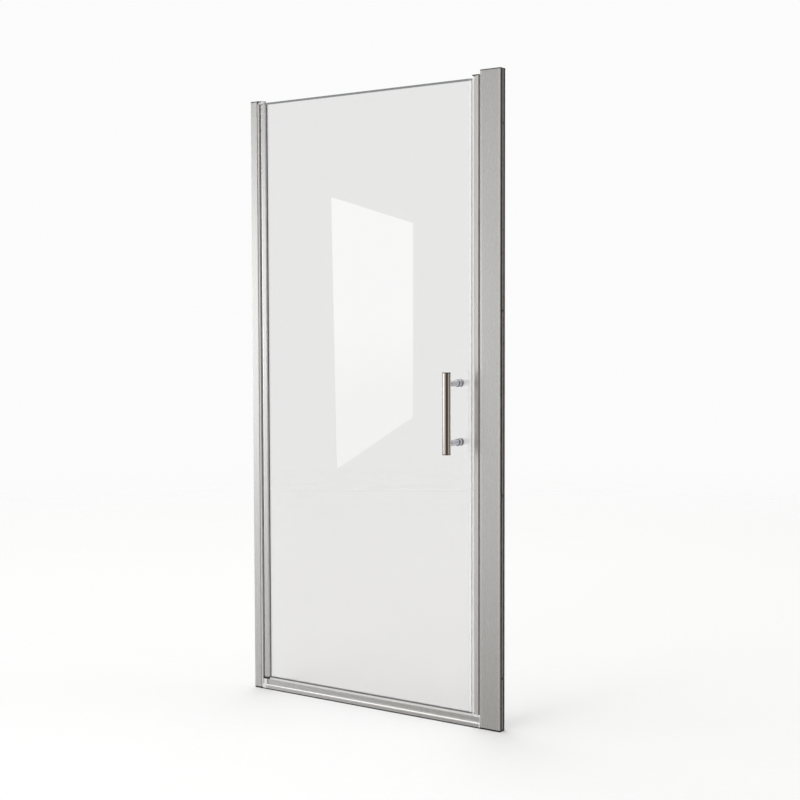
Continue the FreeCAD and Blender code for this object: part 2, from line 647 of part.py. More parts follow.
def make_strike_post():
    """Wide post: open to the wall, with a chamber at the doorway that takes the neck of the jamb."""
    lip = f"({POST_LEFT} + strike_post_wall)"
    slot = "(neck_depth / 2 + slide_gap)"
    wall = f"({PARTITION} + strike_post_wall)"
    shoulder = f"({FRONT} + shoulder_fall)"
    outline = (
        (POST_LEFT, shoulder, "edge_round"), (f"({POST_LEFT} + 2 * edge_round)", shoulder),
        (f"({POST_LEFT} + shoulder_width)", FRONT), (f"({POST_RIGHT} - shoulder_width)", FRONT),
        (f"({POST_RIGHT} - 2 * edge_round)", shoulder), (POST_RIGHT, shoulder, "edge_round"),
        (POST_RIGHT, f"-{POST_INSIDE}"), (wall, f"-{POST_INSIDE}"), (wall, POST_INSIDE),
        (POST_RIGHT, POST_INSIDE),
        (POST_RIGHT, BACK, "edge_round"), (POST_LEFT, BACK, "edge_round"), (POST_LEFT, slot), (lip, slot),
        (lip, POST_INSIDE), (PARTITION, POST_INSIDE), (PARTITION, f"-{POST_INSIDE}"),
        (lip, f"-{POST_INSIDE}"), (lip, f"-{slot}"), (POST_LEFT, f"-{slot}"),
    )
    top = "(strike_height - cap_thickness)"
    body = extrusion("strike_post", "XY_Plane", "foot_pad_thickness", top, (outline,))
    heights = post_screw_heights("strike_height")
    places = [(x, height) for x in (STRIKE_SCREW_X, NECK_SCREW_X) for height in heights]
    drill(body, "XZ_Plane", "0", "frame_depth", "screw_radius", places)


def make_strike_post_cap():
    """Flat cap on the wide post."""
    outline = (
        (POST_LEFT, FRONT, "edge_round"), (RIGHT, FRONT, "edge_round"),
        (RIGHT, BACK, "edge_round"), (POST_LEFT, BACK, "edge_round"),
    )
    bottom = "(strike_height - cap_thickness)"
    extrusion("strike_post_cap", "XY_Plane", bottom, "strike_height", (outline,))


def make_strike_foot_pad():
    """Pad under the wide post."""
    pad_piece = box("strike_foot_pad", (f"({POST_LEFT} + pad_inset)", f"({RIGHT} - pad_inset)"),
                    (f"({FRONT} + pad_inset)", f"({BACK} - pad_inset)"), ("0", "foot_pad_thickness"))
    sub_part(pad_piece, "strike_foot_pad")


def make_strike_jamb():
    """Narrow profile that the leaf closes on; its neck runs into the wide post."""
    side = "(jamb_depth / 2)"
    lead = f"({side} - jamb_fall)"
    slope_start = f"({JAMB_LEFT} + jamb_round + edge_round)"
    slope_end = f"({JAMB_RIGHT} - 2 * edge_round)"
    neck = "(neck_depth / 2)"
    face = f"({JAMB_LEFT} + jamb_wall)"
    inside = f"({lead} - jamb_wall)"
    step = f"({JAMB_RIGHT} - jamb_wall)"
    end = f"({NECK_END} - jamb_wall)"
    slot = "(barb_neck / 2)"
    outline = (
        (JAMB_LEFT, f"-{lead}", "jamb_round"), (slope_start, f"-{lead}"), (slope_end, f"-{side}"),
        (JAMB_RIGHT, f"-{side}", "edge_round"), (JAMB_RIGHT, f"-{neck}"),
        (NECK_END, f"-{neck}"), (NECK_END, neck), (JAMB_RIGHT, neck), (JAMB_RIGHT, side, "edge_round"),
        (slope_end, side), (slope_start, lead), (JAMB_LEFT, lead, "jamb_round"), (JAMB_LEFT, slot),
        (face, slot), (face, inside, "jamb_wall"), (step, inside), (step, NECK_INSIDE),
        (end, NECK_INSIDE), (end, f"-{NECK_INSIDE}"), (step, f"-{NECK_INSIDE}"), (step, f"-{inside}"),
        (face, f"-{inside}", "jamb_wall"), (face, f"-{slot}"), (JAMB_LEFT, f"-{slot}"),
    )
    top = f"({JAMB_TOP} - cap_thickness)"
    body = extrusion("strike_jamb", "XY_Plane", JAMB_BOTTOM, top, (outline,))
    drill(body, "XZ_Plane", "0", "frame_depth", "screw_radius",
          [(NECK_SCREW_X, height) for height in post_screw_heights("strike_height")])


def make_strike_jamb_cap():
    """Cap on the part of the jamb that shows, and on its seal."""
    side = "(jamb_depth / 2)"
    neck = "(neck_depth / 2)"
    outline = (
        (STRIKE_SEAL_FACE, f"-{side}", "edge_round"), (JAMB_RIGHT, f"-{side}", "edge_round"),
        (JAMB_RIGHT, f"-{neck}"), (POST_LEFT, f"-{neck}"), (POST_LEFT, neck), (JAMB_RIGHT, neck),
        (JAMB_RIGHT, side, "edge_round"), (STRIKE_SEAL_FACE, side, "edge_round"),
    )
    bottom = f"({JAMB_TOP} - cap_thickness)"
    extrusion("strike_jamb_cap", "XY_Plane", bottom, JAMB_TOP, (outline,))


def make_strike_jamb_foot():
    """Nylon spacer between the sill and the jamb."""
    side = "(jamb_depth / 2 - pad_inset)"
    spacer = box("strike_jamb_foot", (f"({JAMB_LEFT} + pad_inset)", POST_LEFT), (f"-{side}", side),
                 ("sill_height", JAMB_BOTTOM))
    sub_part(spacer, "strike_jamb_foot")


def magnet_hole(near, far):
    """The square hole that holds a magnet inside a seal profile."""
    side = "(magnet_width / 2)"
    return ((near, f"-{side}"), (far, f"-{side}"), (far, side), (near, side))


def make_strike_seal():
    """Clear seal that clips into the jamb with a barb and holds the strike magnet."""
    neck = "(barb_neck / 2)"
    barb = "(barb_width / 2)"
    inside = f"({JAMB_LEFT} + jamb_wall)"
    end = f"({inside} + barb_thickness)"
    outline = (
        (STRIKE_SEAL_FACE, f"-{SEAL_NOSE_SIDE}", "edge_round"), (JAMB_LEFT, f"-{SEAL_NOSE_SIDE}"),
        (JAMB_LEFT, f"-{neck}"), (inside, f"-{neck}"), (inside, f"-{barb}"), (end, f"-{barb}"),
        (end, barb), (inside, barb), (inside, neck), (JAMB_LEFT, neck), (JAMB_LEFT, SEAL_NOSE_SIDE),
        (STRIKE_SEAL_FACE, SEAL_NOSE_SIDE, "edge_round"),
    )
    near = f"({STRIKE_SEAL_FACE} + seal_skin)"
    hole = magnet_hole(near, f"({near} + magnet_thickness)")
    top = f"({JAMB_TOP} - cap_thickness)"
    extrusion("strike_seal", "XY_Plane", JAMB_BOTTOM, top, (outline, hole))


def make_strike_magnet():
    """Magnet strip in the strike seal."""
    near = f"({STRIKE_SEAL_FACE} + seal_skin)"
    side = "(magnet_width / 2)"
    strip = box("strike_magnet", (near, f"({near} + magnet_thickness)"), (f"-{side}", side),
                (JAMB_BOTTOM, f"({JAMB_TOP} - cap_thickness)"))
    sub_part(strip, "strike_magnet")


# Sill

def make_sill_rail():
    """Sill profile between its end blocks."""
    groove = f"({UPSTAND} + shadow_groove_depth)"
    outline = (
        (FRONT, "cap_thickness"), (BACK, "cap_thickness"), (BACK, "sill_height", "edge_round"),
        (UPSTAND, "sill_height", "edge_round"), (UPSTAND, GROOVE_HIGH),
        (groove, GROOVE_HIGH), (groove, GROOVE_LOW), (UPSTAND, GROOVE_LOW),
        (UPSTAND, "ledge_height"), (FRONT, "ledge_height", "lip_round"),
    )
    main_cavity = (
        (CAVITY_FRONT, CAVITY_FLOOR), (CAVITY_BACK, CAVITY_FLOOR),
        (CAVITY_BACK, CAVITY_ROOF), (CAVITY_FRONT, CAVITY_ROOF),
    )
    lip_front = f"({FRONT} + sill_wall)"
    lip_roof = "(ledge_height - sill_wall)"
    lip_cavity = (
        (lip_front, CAVITY_FLOOR), (groove, CAVITY_FLOOR), (groove, lip_roof),
        (lip_front, lip_roof, "(lip_round - sill_wall)"),
    )
    outlines = (outline, main_cavity, lip_cavity)
    body = extrusion("sill_rail_profile", "YZ_Plane", RAIL_LEFT, RAIL_RIGHT, outlines)
    sub_parts.remove(body)
    sub_part(cut("sill_rail", body, *sill_screw_shapes("sill_rail_screw_hole")), "sill_rail")


def sill_screw(name, x):
    """Countersunk screw down through the top of the sill into an end block."""
    shank = cylinder(name + "_shank", "z", (x, SILL_SCREW_Y), "(sill_height - sill_screw_length)",
                     "sill_height", "sill_screw_radius")
    head = cone(name + "_head", "z", (x, SILL_SCREW_Y), "(sill_height + sill_screw_radius - sill_screw_head)",
                "sill_height", "sill_screw_radius", "sill_screw_head")
    return fuse(name, shank, head)


def sill_screw_shapes(name):
    """The screws in both ends of the sill."""
    return [sill_screw(f"{name}_{index}", x) for index, x in enumerate(SILL_SCREW_XS, start=1)]


def sill_end_block(label, plate_span, plug_span, screw_x, bores):
    """Nylon block that closes one end of the sill, with a plug inside the rail."""
    seat = "(-barrel_radius)"
    outline = (
        (FRONT, "cap_thickness"), (BACK, "cap_thickness"), (BACK, "sill_height"), (seat, "sill_height"),
        (seat, "ledge_height"), (FRONT, "ledge_height", "lip_round"),
    )
    plate = extrusion(label + "_plate", "YZ_Plane", *plate_span, (outline,))
    sub_parts.remove(plate)
    plug = box(label + "_plug", plug_span,
               (f"({CAVITY_FRONT} + sill_end_gap)", f"({CAVITY_BACK} - sill_end_gap)"),
               (f"({CAVITY_FLOOR} + sill_end_gap)", CAVITY_ROOF))
    solid = fuse(label + "_solid", plate, plug)
    screw = sill_screw(label + "_thread", screw_x)
    sub_part(cut(label, solid, screw, *bores), label)


def make_sill_end_blocks():
    """The left block also holds the lower pivot pin."""
    bore = cylinder("left_block_bore", "z", (PIVOT_X, "0"), "pin_foot", "sill_height", "pin_spigot_radius")
    sill_end_block("sill_end_block_left", (SILL_LEFT, RAIL_LEFT),
                   (RAIL_LEFT, f"({RAIL_LEFT} + plug_length)"), SILL_SCREW_XS[0], (bore,))
    sill_end_block("sill_end_block_right", (RAIL_RIGHT, SILL_RIGHT),
                   (f"({RAIL_RIGHT} - plug_length)", RAIL_RIGHT), SILL_SCREW_XS[1], ())


def make_sill_screws():
    """One screw in each end of the sill."""
    group("sill_screws", sill_screw_shapes("sill_screw"))


def make_sill_base_seal():
    """Soft strip between the sill and the tray."""
    strip = box("sill_base_seal", (SILL_LEFT, SILL_RIGHT),
                (f"({FRONT} + pad_inset)", f"({BACK} - pad_inset)"), ("0", "cap_thickness"))
    sub_part(strip, "sill_base_seal")


# Screws through the backs of the posts, with their covers

def fixing_screw(name, x, z, reach):
    """Pan-head screw from the back, to a distance behind the outer face."""
    shank = cylinder(name + "_shank", "y", (x, z), f"({BACK} - {reach})", BACK, "screw_radius")
    head = cylinder(name + "_head", "y", (x, z), BACK, f"({BACK} + screw_head_height)", "screw_head_radius")
    return fuse(name, shank, head)


def screw_group(label, x, heights, reach):
    """Equal screws on one line."""
    group(label, [fixing_screw(f"{label}_{index}", x, z, reach) for index, z in enumerate(heights, start=1)])


def make_fixing_screws():
    """Post to channel on both sides, jamb to post, and the tongue of the upper block."""
    wall_reach = "(channel_wall + slide_gap + hinge_post_wall + screw_reach)"
    screw_group("hinge_fixing_screws", HINGE_POST_MIDDLE, post_screw_heights("hinge_height"), wall_reach)
    screw_group("upper_block_screws", HINGE_POST_MIDDLE, tongue_screw_heights(), BACK)
    strike_heights = post_screw_heights("strike_height")
    strike_reach = "(strike_post_wall + slide_gap + channel_wall + screw_reach)"
    screw_group("strike_fixing_screws", STRIKE_SCREW_X, strike_heights, strike_reach)
    neck_reach = "(frame_depth / 2 - neck_depth / 2 + jamb_wall + screw_reach)"
    screw_group("jamb_fixing_screws", NECK_SCREW_X, strike_heights, neck_reach)


def make_screw_cover_caps():
    """A round cover over every screw on the backs of the posts."""
    hinge_heights = post_screw_heights("hinge_height") + tongue_screw_heights()
    places = [(HINGE_POST_MIDDLE, z) for z in hinge_heights]
    places += [(x, z) for x in (STRIKE_SCREW_X, NECK_SCREW_X) for z in post_screw_heights("strike_height")]
    roof = f"({BACK} + screw_head_height + cover_play)"
    covers = []
    for index, centre in enumerate(places, start=1):
        shell = rounded_rod(f"cover_{index}", "y", centre, BACK, f"({roof} + cover_wall)", "cover_radius",
                            "edge_round", ("high",))
        room = cylinder(f"cover_room_{index}", "y", centre, BACK, roof, "(screw_head_radius + cover_play)")
        covers.append(cut(f"cover_shell_{index}", shell, room))
    group("screw_cover_caps", covers)


# Leaf

def make_door_glass():
    """Flat pane with two holes for the handle."""
    pane = box("glass_pane", (GLASS_LEFT, GLASS_RIGHT), (f"-{GLASS_SIDE}", GLASS_SIDE),
               (GLASS_BOTTOM, GLASS_TOP))
    holes = [
        cylinder(f"glass_hole_{index}", "y", (HANDLE_X, z), f"(-{GLASS_SIDE})", GLASS_SIDE,
                 "glass_hole_radius")
        for index, z in enumerate(STANDOFF_ZS, start=1)
    ]
    sub_part(cut("door_glass", pane, *holes), "door_glass")


def make_pivot_stile():
    """Stile profile: round about the pivot axis, flat beside the glass, bored for the bushes."""
    back = f"({PIVOT_X} - barrel_radius)"
    outline = (
        (back, "-barrel_radius", "barrel_radius"), (STILE_END, "-barrel_radius", "edge_round"),
        (STILE_END, f"-{SLOT_SIDE}"), (SLOT_FLOOR, f"-{SLOT_SIDE}"), (SLOT_FLOOR, SLOT_SIDE),
        (STILE_END, SLOT_SIDE), (STILE_END, "barrel_radius", "stile_inside_round"),
        (back, "barrel_radius", "barrel_radius"),
    )
    bore = (PIVOT_X, "0", "bush_radius")
    extrusion("pivot_stile", "XY_Plane", STILE_BOTTOM, STILE_TOP, (outline,), (bore,))


def make_stile_gasket():
    """Glazing gasket round the edge of the glass, with a bead beside the stile on each face."""
    outline = (
        (SLOT_FLOOR, f"-{SLOT_SIDE}"), (STILE_END, f"-{SLOT_SIDE}"), (STILE_END, f"-{BEAD_SIDE}"),
        (BEAD_END, f"-{BEAD_SIDE}", "bead_round"), (BEAD_END, f"-{GLASS_SIDE}"),
        (GLASS_LEFT, f"-{GLASS_SIDE}"), (GLASS_LEFT, GLASS_SIDE), (BEAD_END, GLASS_SIDE),
        (BEAD_END, BEAD_SIDE, "bead_round"), (STILE_END, BEAD_SIDE), (STILE_END, SLOT_SIDE),
        (SLOT_FLOOR, SLOT_SIDE),
    )
    extrusion("stile_gasket", "XY_Plane", STILE_BOTTOM, STILE_TOP, (outline,))


def pivot_bush(label, flange_from, flange_to, sleeve_from, sleeve_to):
    """Flanged bush in one end of the stile."""
    centre = (PIVOT_X, "0")
    flange = cylinder(label + "_flange", "z", centre, flange_from, flange_to, "bush_flange_radius")
    sleeve = cylinder(label + "_sleeve", "z", centre, sleeve_from, sleeve_to, "bush_radius")
    bore = cylinder(label + "_bore", "z", centre, f"({flange_from} - bush_length)",
                    f"({flange_to} + bush_length)", "(pin_radius + pin_fit)")
    sub_part(cut(label, fuse(label + "_solid", flange, sleeve), bore), label)


def make_pivot_bushes():
    """The bushes in both ends of the stile."""
    lower_end = f"({STILE_BOTTOM} + bush_length)"
    upper_end = f"({STILE_TOP} - bush_length)"
    pivot_bush("lower_pivot_bush", LOWER_FLANGE, STILE_BOTTOM, STILE_BOTTOM, lower_end)
    pivot_bush("upper_pivot_bush", STILE_TOP, UPPER_FLANGE, upper_end, STILE_TOP)


def make_door_seal():
    """Clear seal gripping the closing edge of the glass, with a nose that holds the magnet."""
    leg = f"({GLASS_SIDE} + seal_wall)"
    bridge = f"({GLASS_RIGHT} + seal_wall)"
    outline = (
        (SEAL_LEG_END, f"-{leg}"), (GLASS_RIGHT, f"-{leg}"), (GLASS_RIGHT, f"-{SEAL_NOSE_SIDE}"),
        (DOOR_SEAL_FACE, f"-{SEAL_NOSE_SIDE}", "edge_round"),
        (DOOR_SEAL_FACE, SEAL_NOSE_SIDE, "edge_round"), (GLASS_RIGHT, SEAL_NOSE_SIDE), (GLASS_RIGHT, leg),
        (SEAL_LEG_END, leg), (SEAL_LEG_END, GLASS_SIDE), (GLASS_RIGHT, GLASS_SIDE),
        (GLASS_RIGHT, f"-{GLASS_SIDE}"), (SEAL_LEG_END, f"-{GLASS_SIDE}"),
    )
    hole = magnet_hole(bridge, f"({bridge} + magnet_thickness)")
    extrusion("door_seal", "XY_Plane", GLASS_BOTTOM, GLASS_TOP, (outline, hole))


def make_door_magnet():
    """Magnet strip in the door seal."""
    bridge = f"({GLASS_RIGHT} + seal_wall)"
    side = "(magnet_width / 2)"
    strip = box("door_magnet", (bridge, f"({bridge} + magnet_thickness)"), (f"-{side}", side),
                (GLASS_BOTTOM, GLASS_TOP))
    sub_part(strip, "door_magnet")


def make_drip_seal():
    """Clear seal under the glass with a fin that wipes over the sill."""
    leg = f"({GLASS_SIDE} + seal_wall)"
    floor = f"({GLASS_BOTTOM} - seal_wall)"
    fin = "(fin_thickness / 2)"
    tip = "(sill_height + fin_gap)"
    leg_top = f"({GLASS_BOTTOM} + drip_leg)"
    outline = (
        (f"-{leg}", floor), (f"-{fin}", floor), (f"-{fin}", tip), (fin, tip), (fin, floor), (leg, floor),
        (leg, leg_top), (GLASS_SIDE, leg_top), (GLASS_SIDE, GLASS_BOTTOM), (f"-{GLASS_SIDE}", GLASS_BOTTOM),
        (f"-{GLASS_SIDE}", leg_top), (f"-{leg}", leg_top),
    )
    start = f"({BEAD_END} + drip_end_gap)"
    end = f"({SEAL_LEG_END} - drip_end_gap)"
    extrusion("drip_seal", "YZ_Plane", start, end, (outline,))


# Handle

def make_handle_bar():
    """Upright tube between its end plugs."""
    low = f"({BAR_BOTTOM} + plug_cap)"
    high = f"({BAR_TOP} - plug_cap)"
    tube = cylinder("bar_outside", "z", (HANDLE_X, BAR_Y), low, high, "handle_radius")
    bore = cylinder("bar_bore", "z", (HANDLE_X, BAR_Y), low, high, "(handle_radius - handle_wall)")
    sub_part(cut("handle_bar", tube, bore), "handle_bar")


def make_handle_end_plugs():
    """Plugs with a rounded edge that close the bar."""
    bore = "(handle_radius - handle_wall)"
    centre = (HANDLE_X, BAR_Y)
    low_cap = rounded_rod("low_plug_cap", "z", centre, BAR_BOTTOM, f"({BAR_BOTTOM} + plug_cap)",
                          "handle_radius", "plug_round", ("low",))
    low_spigot = cylinder("low_plug_spigot", "z", centre, f"({BAR_BOTTOM} + plug_cap)",
                          f"({BAR_BOTTOM} + plug_cap + plug_spigot)", bore)
    high_cap = rounded_rod("high_plug_cap", "z", centre, f"({BAR_TOP} - plug_cap)", BAR_TOP,
                           "handle_radius", "plug_round", ("high",))
    high_spigot = cylinder("high_plug_spigot", "z", centre, f"({BAR_TOP} - plug_cap - plug_spigot)",
                           f"({BAR_TOP} - plug_cap)", bore)
    low_plug = fuse("low_plug", low_cap, low_spigot)
    group("handle_end_plugs", [low_plug, fuse("high_plug", high_cap, high_spigot)])


def make_handle_standoffs():
    """Round standoffs, coped to the bar and threaded for the bolts."""
    items = []
    for index, z in enumerate(STANDOFF_ZS, start=1):
        rod = cylinder(f"standoff_rod_{index}", "y", (HANDLE_X, z), BAR_Y, PAD_FRONT, "standoff_radius")
        cope = cylinder(f"standoff_cope_{index}", "z", (HANDLE_X, BAR_Y), BAR_BOTTOM, BAR_TOP,
                        "handle_radius")
        thread = cylinder(f"standoff_thread_{index}", "y", (HANDLE_X, z), f"({PAD_FRONT} - bolt_reach)",
                          PAD_FRONT, "(bolt_radius + bolt_fit)")
        items.append(cut(f"standoff_{index}", rod, cope, thread))
    group("handle_standoffs", items)


def make_handle_collars():
    """Collars round the standoffs against the glass."""
    items = []
    for index, z in enumerate(STANDOFF_ZS, start=1):
        ring = rounded_rod(f"collar_{index}", "y", (HANDLE_X, z), f"({PAD_FRONT} - collar_length)", PAD_FRONT,
                           "collar_radius", "collar_round", ("low",))
        hole = cylinder(f"collar_hole_{index}", "y", (HANDLE_X, z), f"({PAD_FRONT} - collar_length)",
                        PAD_FRONT, "standoff_radius")
        items.append(cut(f"collar_ring_{index}", ring, hole))
    group("handle_collars", items)


def make_handle_washers():
    """Clear washers on both faces of the glass."""
    items = []
    faces = (("front", PAD_FRONT, f"(-{GLASS_SIDE})"), ("back", GLASS_SIDE, PAD_BACK))
    for index, z in enumerate(STANDOFF_ZS, start=1):
        for face, start, end in faces:
            name = f"{face}_washer_{index}"
            disc = cylinder(name + "_disc", "y", (HANDLE_X, z), start, end, "collar_radius")
            hole = cylinder(name + "_hole", "y", (HANDLE_X, z), start, end, "(bolt_radius + bolt_fit)")
            items.append(cut(name, disc, hole))
    group("handle_washers", items)


def make_handle_sleeves():
    """Clear sleeves that keep the bolts off the glass."""
    items = []
    front = f"(-{GLASS_SIDE})"
    for index, z in enumerate(STANDOFF_ZS, start=1):
        centre = (HANDLE_X, z)
        tube = cylinder(f"sleeve_tube_{index}", "y", centre, front, GLASS_SIDE, "glass_hole_radius")
        hole = cylinder(f"sleeve_hole_{index}", "y", centre, front, GLASS_SIDE, "(bolt_radius + bolt_fit)")
        items.append(cut(f"sleeve_{index}", tube, hole))
    group("handle_sleeves", items)


def make_handle_bolts():
    """Bolts from the inside of the glass into the standoffs."""
    items = []
    tip = f"({PAD_FRONT} - bolt_reach)"
    head_end = f"({PAD_BACK} + bolt_head_height)"
    for index, z in enumerate(STANDOFF_ZS, start=1):
        centre = (HANDLE_X, z)
        shank = cylinder(f"bolt_shank_{index}", "y", centre, tip, PAD_BACK, "bolt_radius")
        head = cylinder(f"bolt_head_{index}", "y", centre, PAD_BACK, head_end, "bolt_head_radius")
        items.append(fuse(f"bolt_{index}", shank, head))
    group("handle_bolts", items)


def make_handle_inner_caps():
    """Round caps over the bolt heads."""
    items = []
    top = f"({PAD_BACK} + inner_cap_length)"
    roof = f"({top} - inner_cap_wall)"
    for index, z in enumerate(STANDOFF_ZS, start=1):
        centre = (HANDLE_X, z)
        shell = rounded_rod(f"inner_cap_{index}", "y", centre, PAD_BACK, top, "collar_radius",
                            "collar_round", ("high",))
        room = cylinder(f"inner_cap_room_{index}", "y", centre, PAD_BACK, roof,
                        "(bolt_head_radius + cover_play)")
        items.append(cut(f"inner_cap_shell_{index}", shell, room))
    group("handle_inner_caps", items)


def make_all():
    """Every sub-part, frame first and leaf after."""
    make_hinge_wall_channel()
    make_hinge_post()
    make_hinge_top_cap()
    make_hinge_foot_pad()
    make_upper_pivot_block()
    make_upper_pivot_pin()
    make_lower_pivot_block()
    make_lower_pivot_pin()
    make_lower_pivot_washer()
    make_strike_wall_channel()
    make_strike_post()
    make_strike_post_cap()
    make_strike_foot_pad()
    make_strike_jamb()
    make_strike_jamb_cap()
    make_strike_jamb_foot()
    make_strike_seal()
    make_strike_magnet()
    make_sill_rail()
    make_sill_end_blocks()
    make_sill_screws()
    make_sill_base_seal()
    make_fixing_screws()
    make_screw_cover_caps()
    make_door_glass()
    make_pivot_stile()
    make_stile_gasket()
    make_pivot_bushes()
    make_door_seal()
    make_door_magnet()
    make_drip_seal()
    make_handle_bar()
    make_handle_end_plugs()
    make_handle_standoffs()
    make_handle_collars()
    make_handle_washers()
    make_handle_sleeves()
    make_handle_bolts()
    make_handle_inner_caps()


def check_all():
    """Stops before anything is written if an object failed or a sub-part isn't sound."""
    for item in doc.Objects:
        if "Invalid" in item.State or "Error" in item.State:
            raise RuntimeError(f"{item.Label}: {item.State}")
    for item in sub_parts:
        if item.Shape.isNull() or not item.Shape.isValid() or not item.Shape.Solids:
            raise RuntimeError(f"{item.Label}: no sound shape")


def write_all():
    """One file for each sub-part, named by its label."""
    os.makedirs("parts", exist_ok=True)
    for item in sub_parts:
        item.Shape.exportStep(os.path.join("parts", item.Label + ".step"))


fill_sheet()
make_all()
doc.recompute()
check_all()
write_all()
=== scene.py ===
"""Looks of the pivot shower door: materials, a pale floor, soft studio light and the camera.

Metres, in the shared frame: +X to the strike side, +Y into the shower, +Z up, floor at 0.
"""
import json
import math

import bpy
from mathutils import Matrix, Vector


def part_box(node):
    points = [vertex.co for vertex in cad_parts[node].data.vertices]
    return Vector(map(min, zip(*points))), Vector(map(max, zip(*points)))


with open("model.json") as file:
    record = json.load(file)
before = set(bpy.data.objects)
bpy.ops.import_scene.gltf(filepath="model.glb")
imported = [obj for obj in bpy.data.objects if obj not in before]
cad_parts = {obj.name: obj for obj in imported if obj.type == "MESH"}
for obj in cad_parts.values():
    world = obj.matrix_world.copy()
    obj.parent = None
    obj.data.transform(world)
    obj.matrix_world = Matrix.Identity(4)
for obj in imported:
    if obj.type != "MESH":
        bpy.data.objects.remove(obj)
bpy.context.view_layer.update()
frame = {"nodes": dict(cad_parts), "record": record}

scene = bpy.context.scene

WHITE = (1.0, 1.0, 1.0)


# Node trees

class Graph:
    """A node tree with short ways to add nodes and link them."""

    def __init__(self, tree):
        self.tree = tree
        tree.nodes.clear()

    def add(self, kind, inputs=None, **settings):
        """A node with its settings and its inputs, which are values or other nodes' outputs."""
        node = self.tree.nodes.new(kind)
        for name, value in settings.items():
            setattr(node, name, value)
        for name, value in (inputs or {}).items():
            self.feed(node.inputs[name], value)
        return node

    def feed(self, socket, value):
        """Links an output to a socket, or sets the socket to a value."""
        if isinstance(value, bpy.types.NodeSocket):
            self.tree.links.new(value, socket)
        else:
            socket.default_value = value

    def finish(self, shader, kind="ShaderNodeOutputMaterial"):
        """Puts a shader on the tree's output."""
        self.add(kind, {"Surface": shader.outputs[0]})

    def math(self, operation, *values):
        """The result of a math node."""
        node = self.add("ShaderNodeMath", operation=operation)
        for socket, value in zip(node.inputs, values):
            self.feed(socket, value)
        return node.outputs[0]

    def remap(self, value, low, high, to_low=0.0, to_high=1.0, smooth=False):
        """The value moved from one range to another, clamped."""
        node = self.add("ShaderNodeMapRange", interpolation_type="SMOOTHSTEP" if smooth else "LINEAR")
        for name, item in (("Value", value), ("From Min", low), ("From Max", high),
                           ("To Min", to_low), ("To Max", to_high)):
            self.feed(node.inputs[name], item)
        return node.outputs[0]

    def vary(self, noise, middle, spread):
        """A value that goes with a noise, by a spread to both sides of its middle."""
        return self.remap(noise, *NOISE_REACH, middle - spread, middle + spread)

    def coordinates(self, space="Object"):
        """Coordinates of the point; a CAD node's own are metres in the shared frame."""
        return self.add("ShaderNodeTexCoord").outputs[space]

    def part(self, axis, space="Object"):
        """One of the point's coordinates."""
        return self.add("ShaderNodeSeparateXYZ", {0: self.coordinates(space)}).outputs[axis]

    def stretched(self, factors):
        """The point's coordinates times a factor for each axis."""
        node = self.add("ShaderNodeVectorMath", {0: self.coordinates(), 1: factors}, operation="MULTIPLY")
        return node.outputs[0]

    def noise(self, vector, scale, detail=2.0, roughness=0.5):
        """The value of a noise texture."""
        node = self.add("ShaderNodeTexNoise", {"Vector": vector, "Scale": scale, "Detail": detail,
                                               "Roughness": roughness})
        return node.outputs["Fac"]

    def mix(self, first, second, share):
        """Two values added, the first by its share and the second by the rest."""
        return self.math("MULTIPLY_ADD", first, share, self.math("MULTIPLY", second, 1.0 - share))

    def blend(self, factor, first, second):
        """A colour between two colours; sockets 6 and 7 are the mix node's colours."""
        node = self.add("ShaderNodeMix", data_type="RGBA")
        self.feed(node.inputs[0], factor)
        for socket, colour in zip(node.inputs[6:8], (first, second)):
            self.feed(socket, (*colour, 1.0) if isinstance(colour, tuple) else colour)
        return node.outputs[2]

    def bump(self, height, distance):
        """A bumped normal; distance in metres."""
        return self.add("ShaderNodeBump", {"Height": height, "Distance": distance}).outputs[0]


def new_material(name):
    """A material and its empty graph."""
    material = bpy.data.materials.new(name)
    material.use_nodes = True
    return material, Graph(material.node_tree)


def finish_surface(graph, **inputs):
    """A Principled shader on the material's output; names stand for its sockets."""
    sockets = {name.replace("_", " "): value for name, value in inputs.items()}
    graph.finish(graph.add("ShaderNodeBsdfPrincipled", sockets))


# Materials

NOISE_REACH = (0.3, 0.7)     # where most of a noise's values lie

METAL_PATCHES = (3.0, 3.0, 0.8)
METAL_LINE_SHARE = 0.6
METAL_ROUGHNESS_SPREAD = 0.02
GROOVE_DEPTH = 0.0016
# Painted shade: the tone of the metal down in the grooves behind a face.
PAINTED_GROOVE_SHADE = (0.06, 0.06, 0.06)


def brushed_metal(name, dark, light, rough, grain, lines, depth, face=None, metallic=1.0):
    """Metal with brush lines along grain: its factors squeeze the noise along the line.

    Where a face is given, shade is painted on the metal behind that X, darkening it down in its grooves.
    """
    material, graph = new_material(name)
    fine = graph.noise(graph.stretched(grain), lines, 3.0, 0.6)
    patch = graph.noise(graph.stretched(METAL_PATCHES), 1.0)
    colour = graph.blend(graph.mix(fine, patch, METAL_LINE_SHARE), dark, light)
    if face is not None:
        # Painted shade: the metal darkens behind the face, down in its grooves.
        outside_groove_shade = graph.remap(graph.part(0), face - GROOVE_DEPTH, face - 0.25 * GROOVE_DEPTH)
        colour = graph.blend(outside_groove_shade, PAINTED_GROOVE_SHADE, colour)
    finish_surface(graph, Base_Color=colour, Metallic=metallic,
                   Roughness=graph.vary(fine, rough, METAL_ROUGHNESS_SPREAD),
                   Normal=graph.bump(fine, depth))
    return material


EVEN = (1.0, 1.0, 1.0)
MOULDED_CLOUDS = 9.0         # per metre
MOULDED_GRAIN_SHARE = 0.5
MOULDED_ROUGHNESS_SPREAD = 0.06


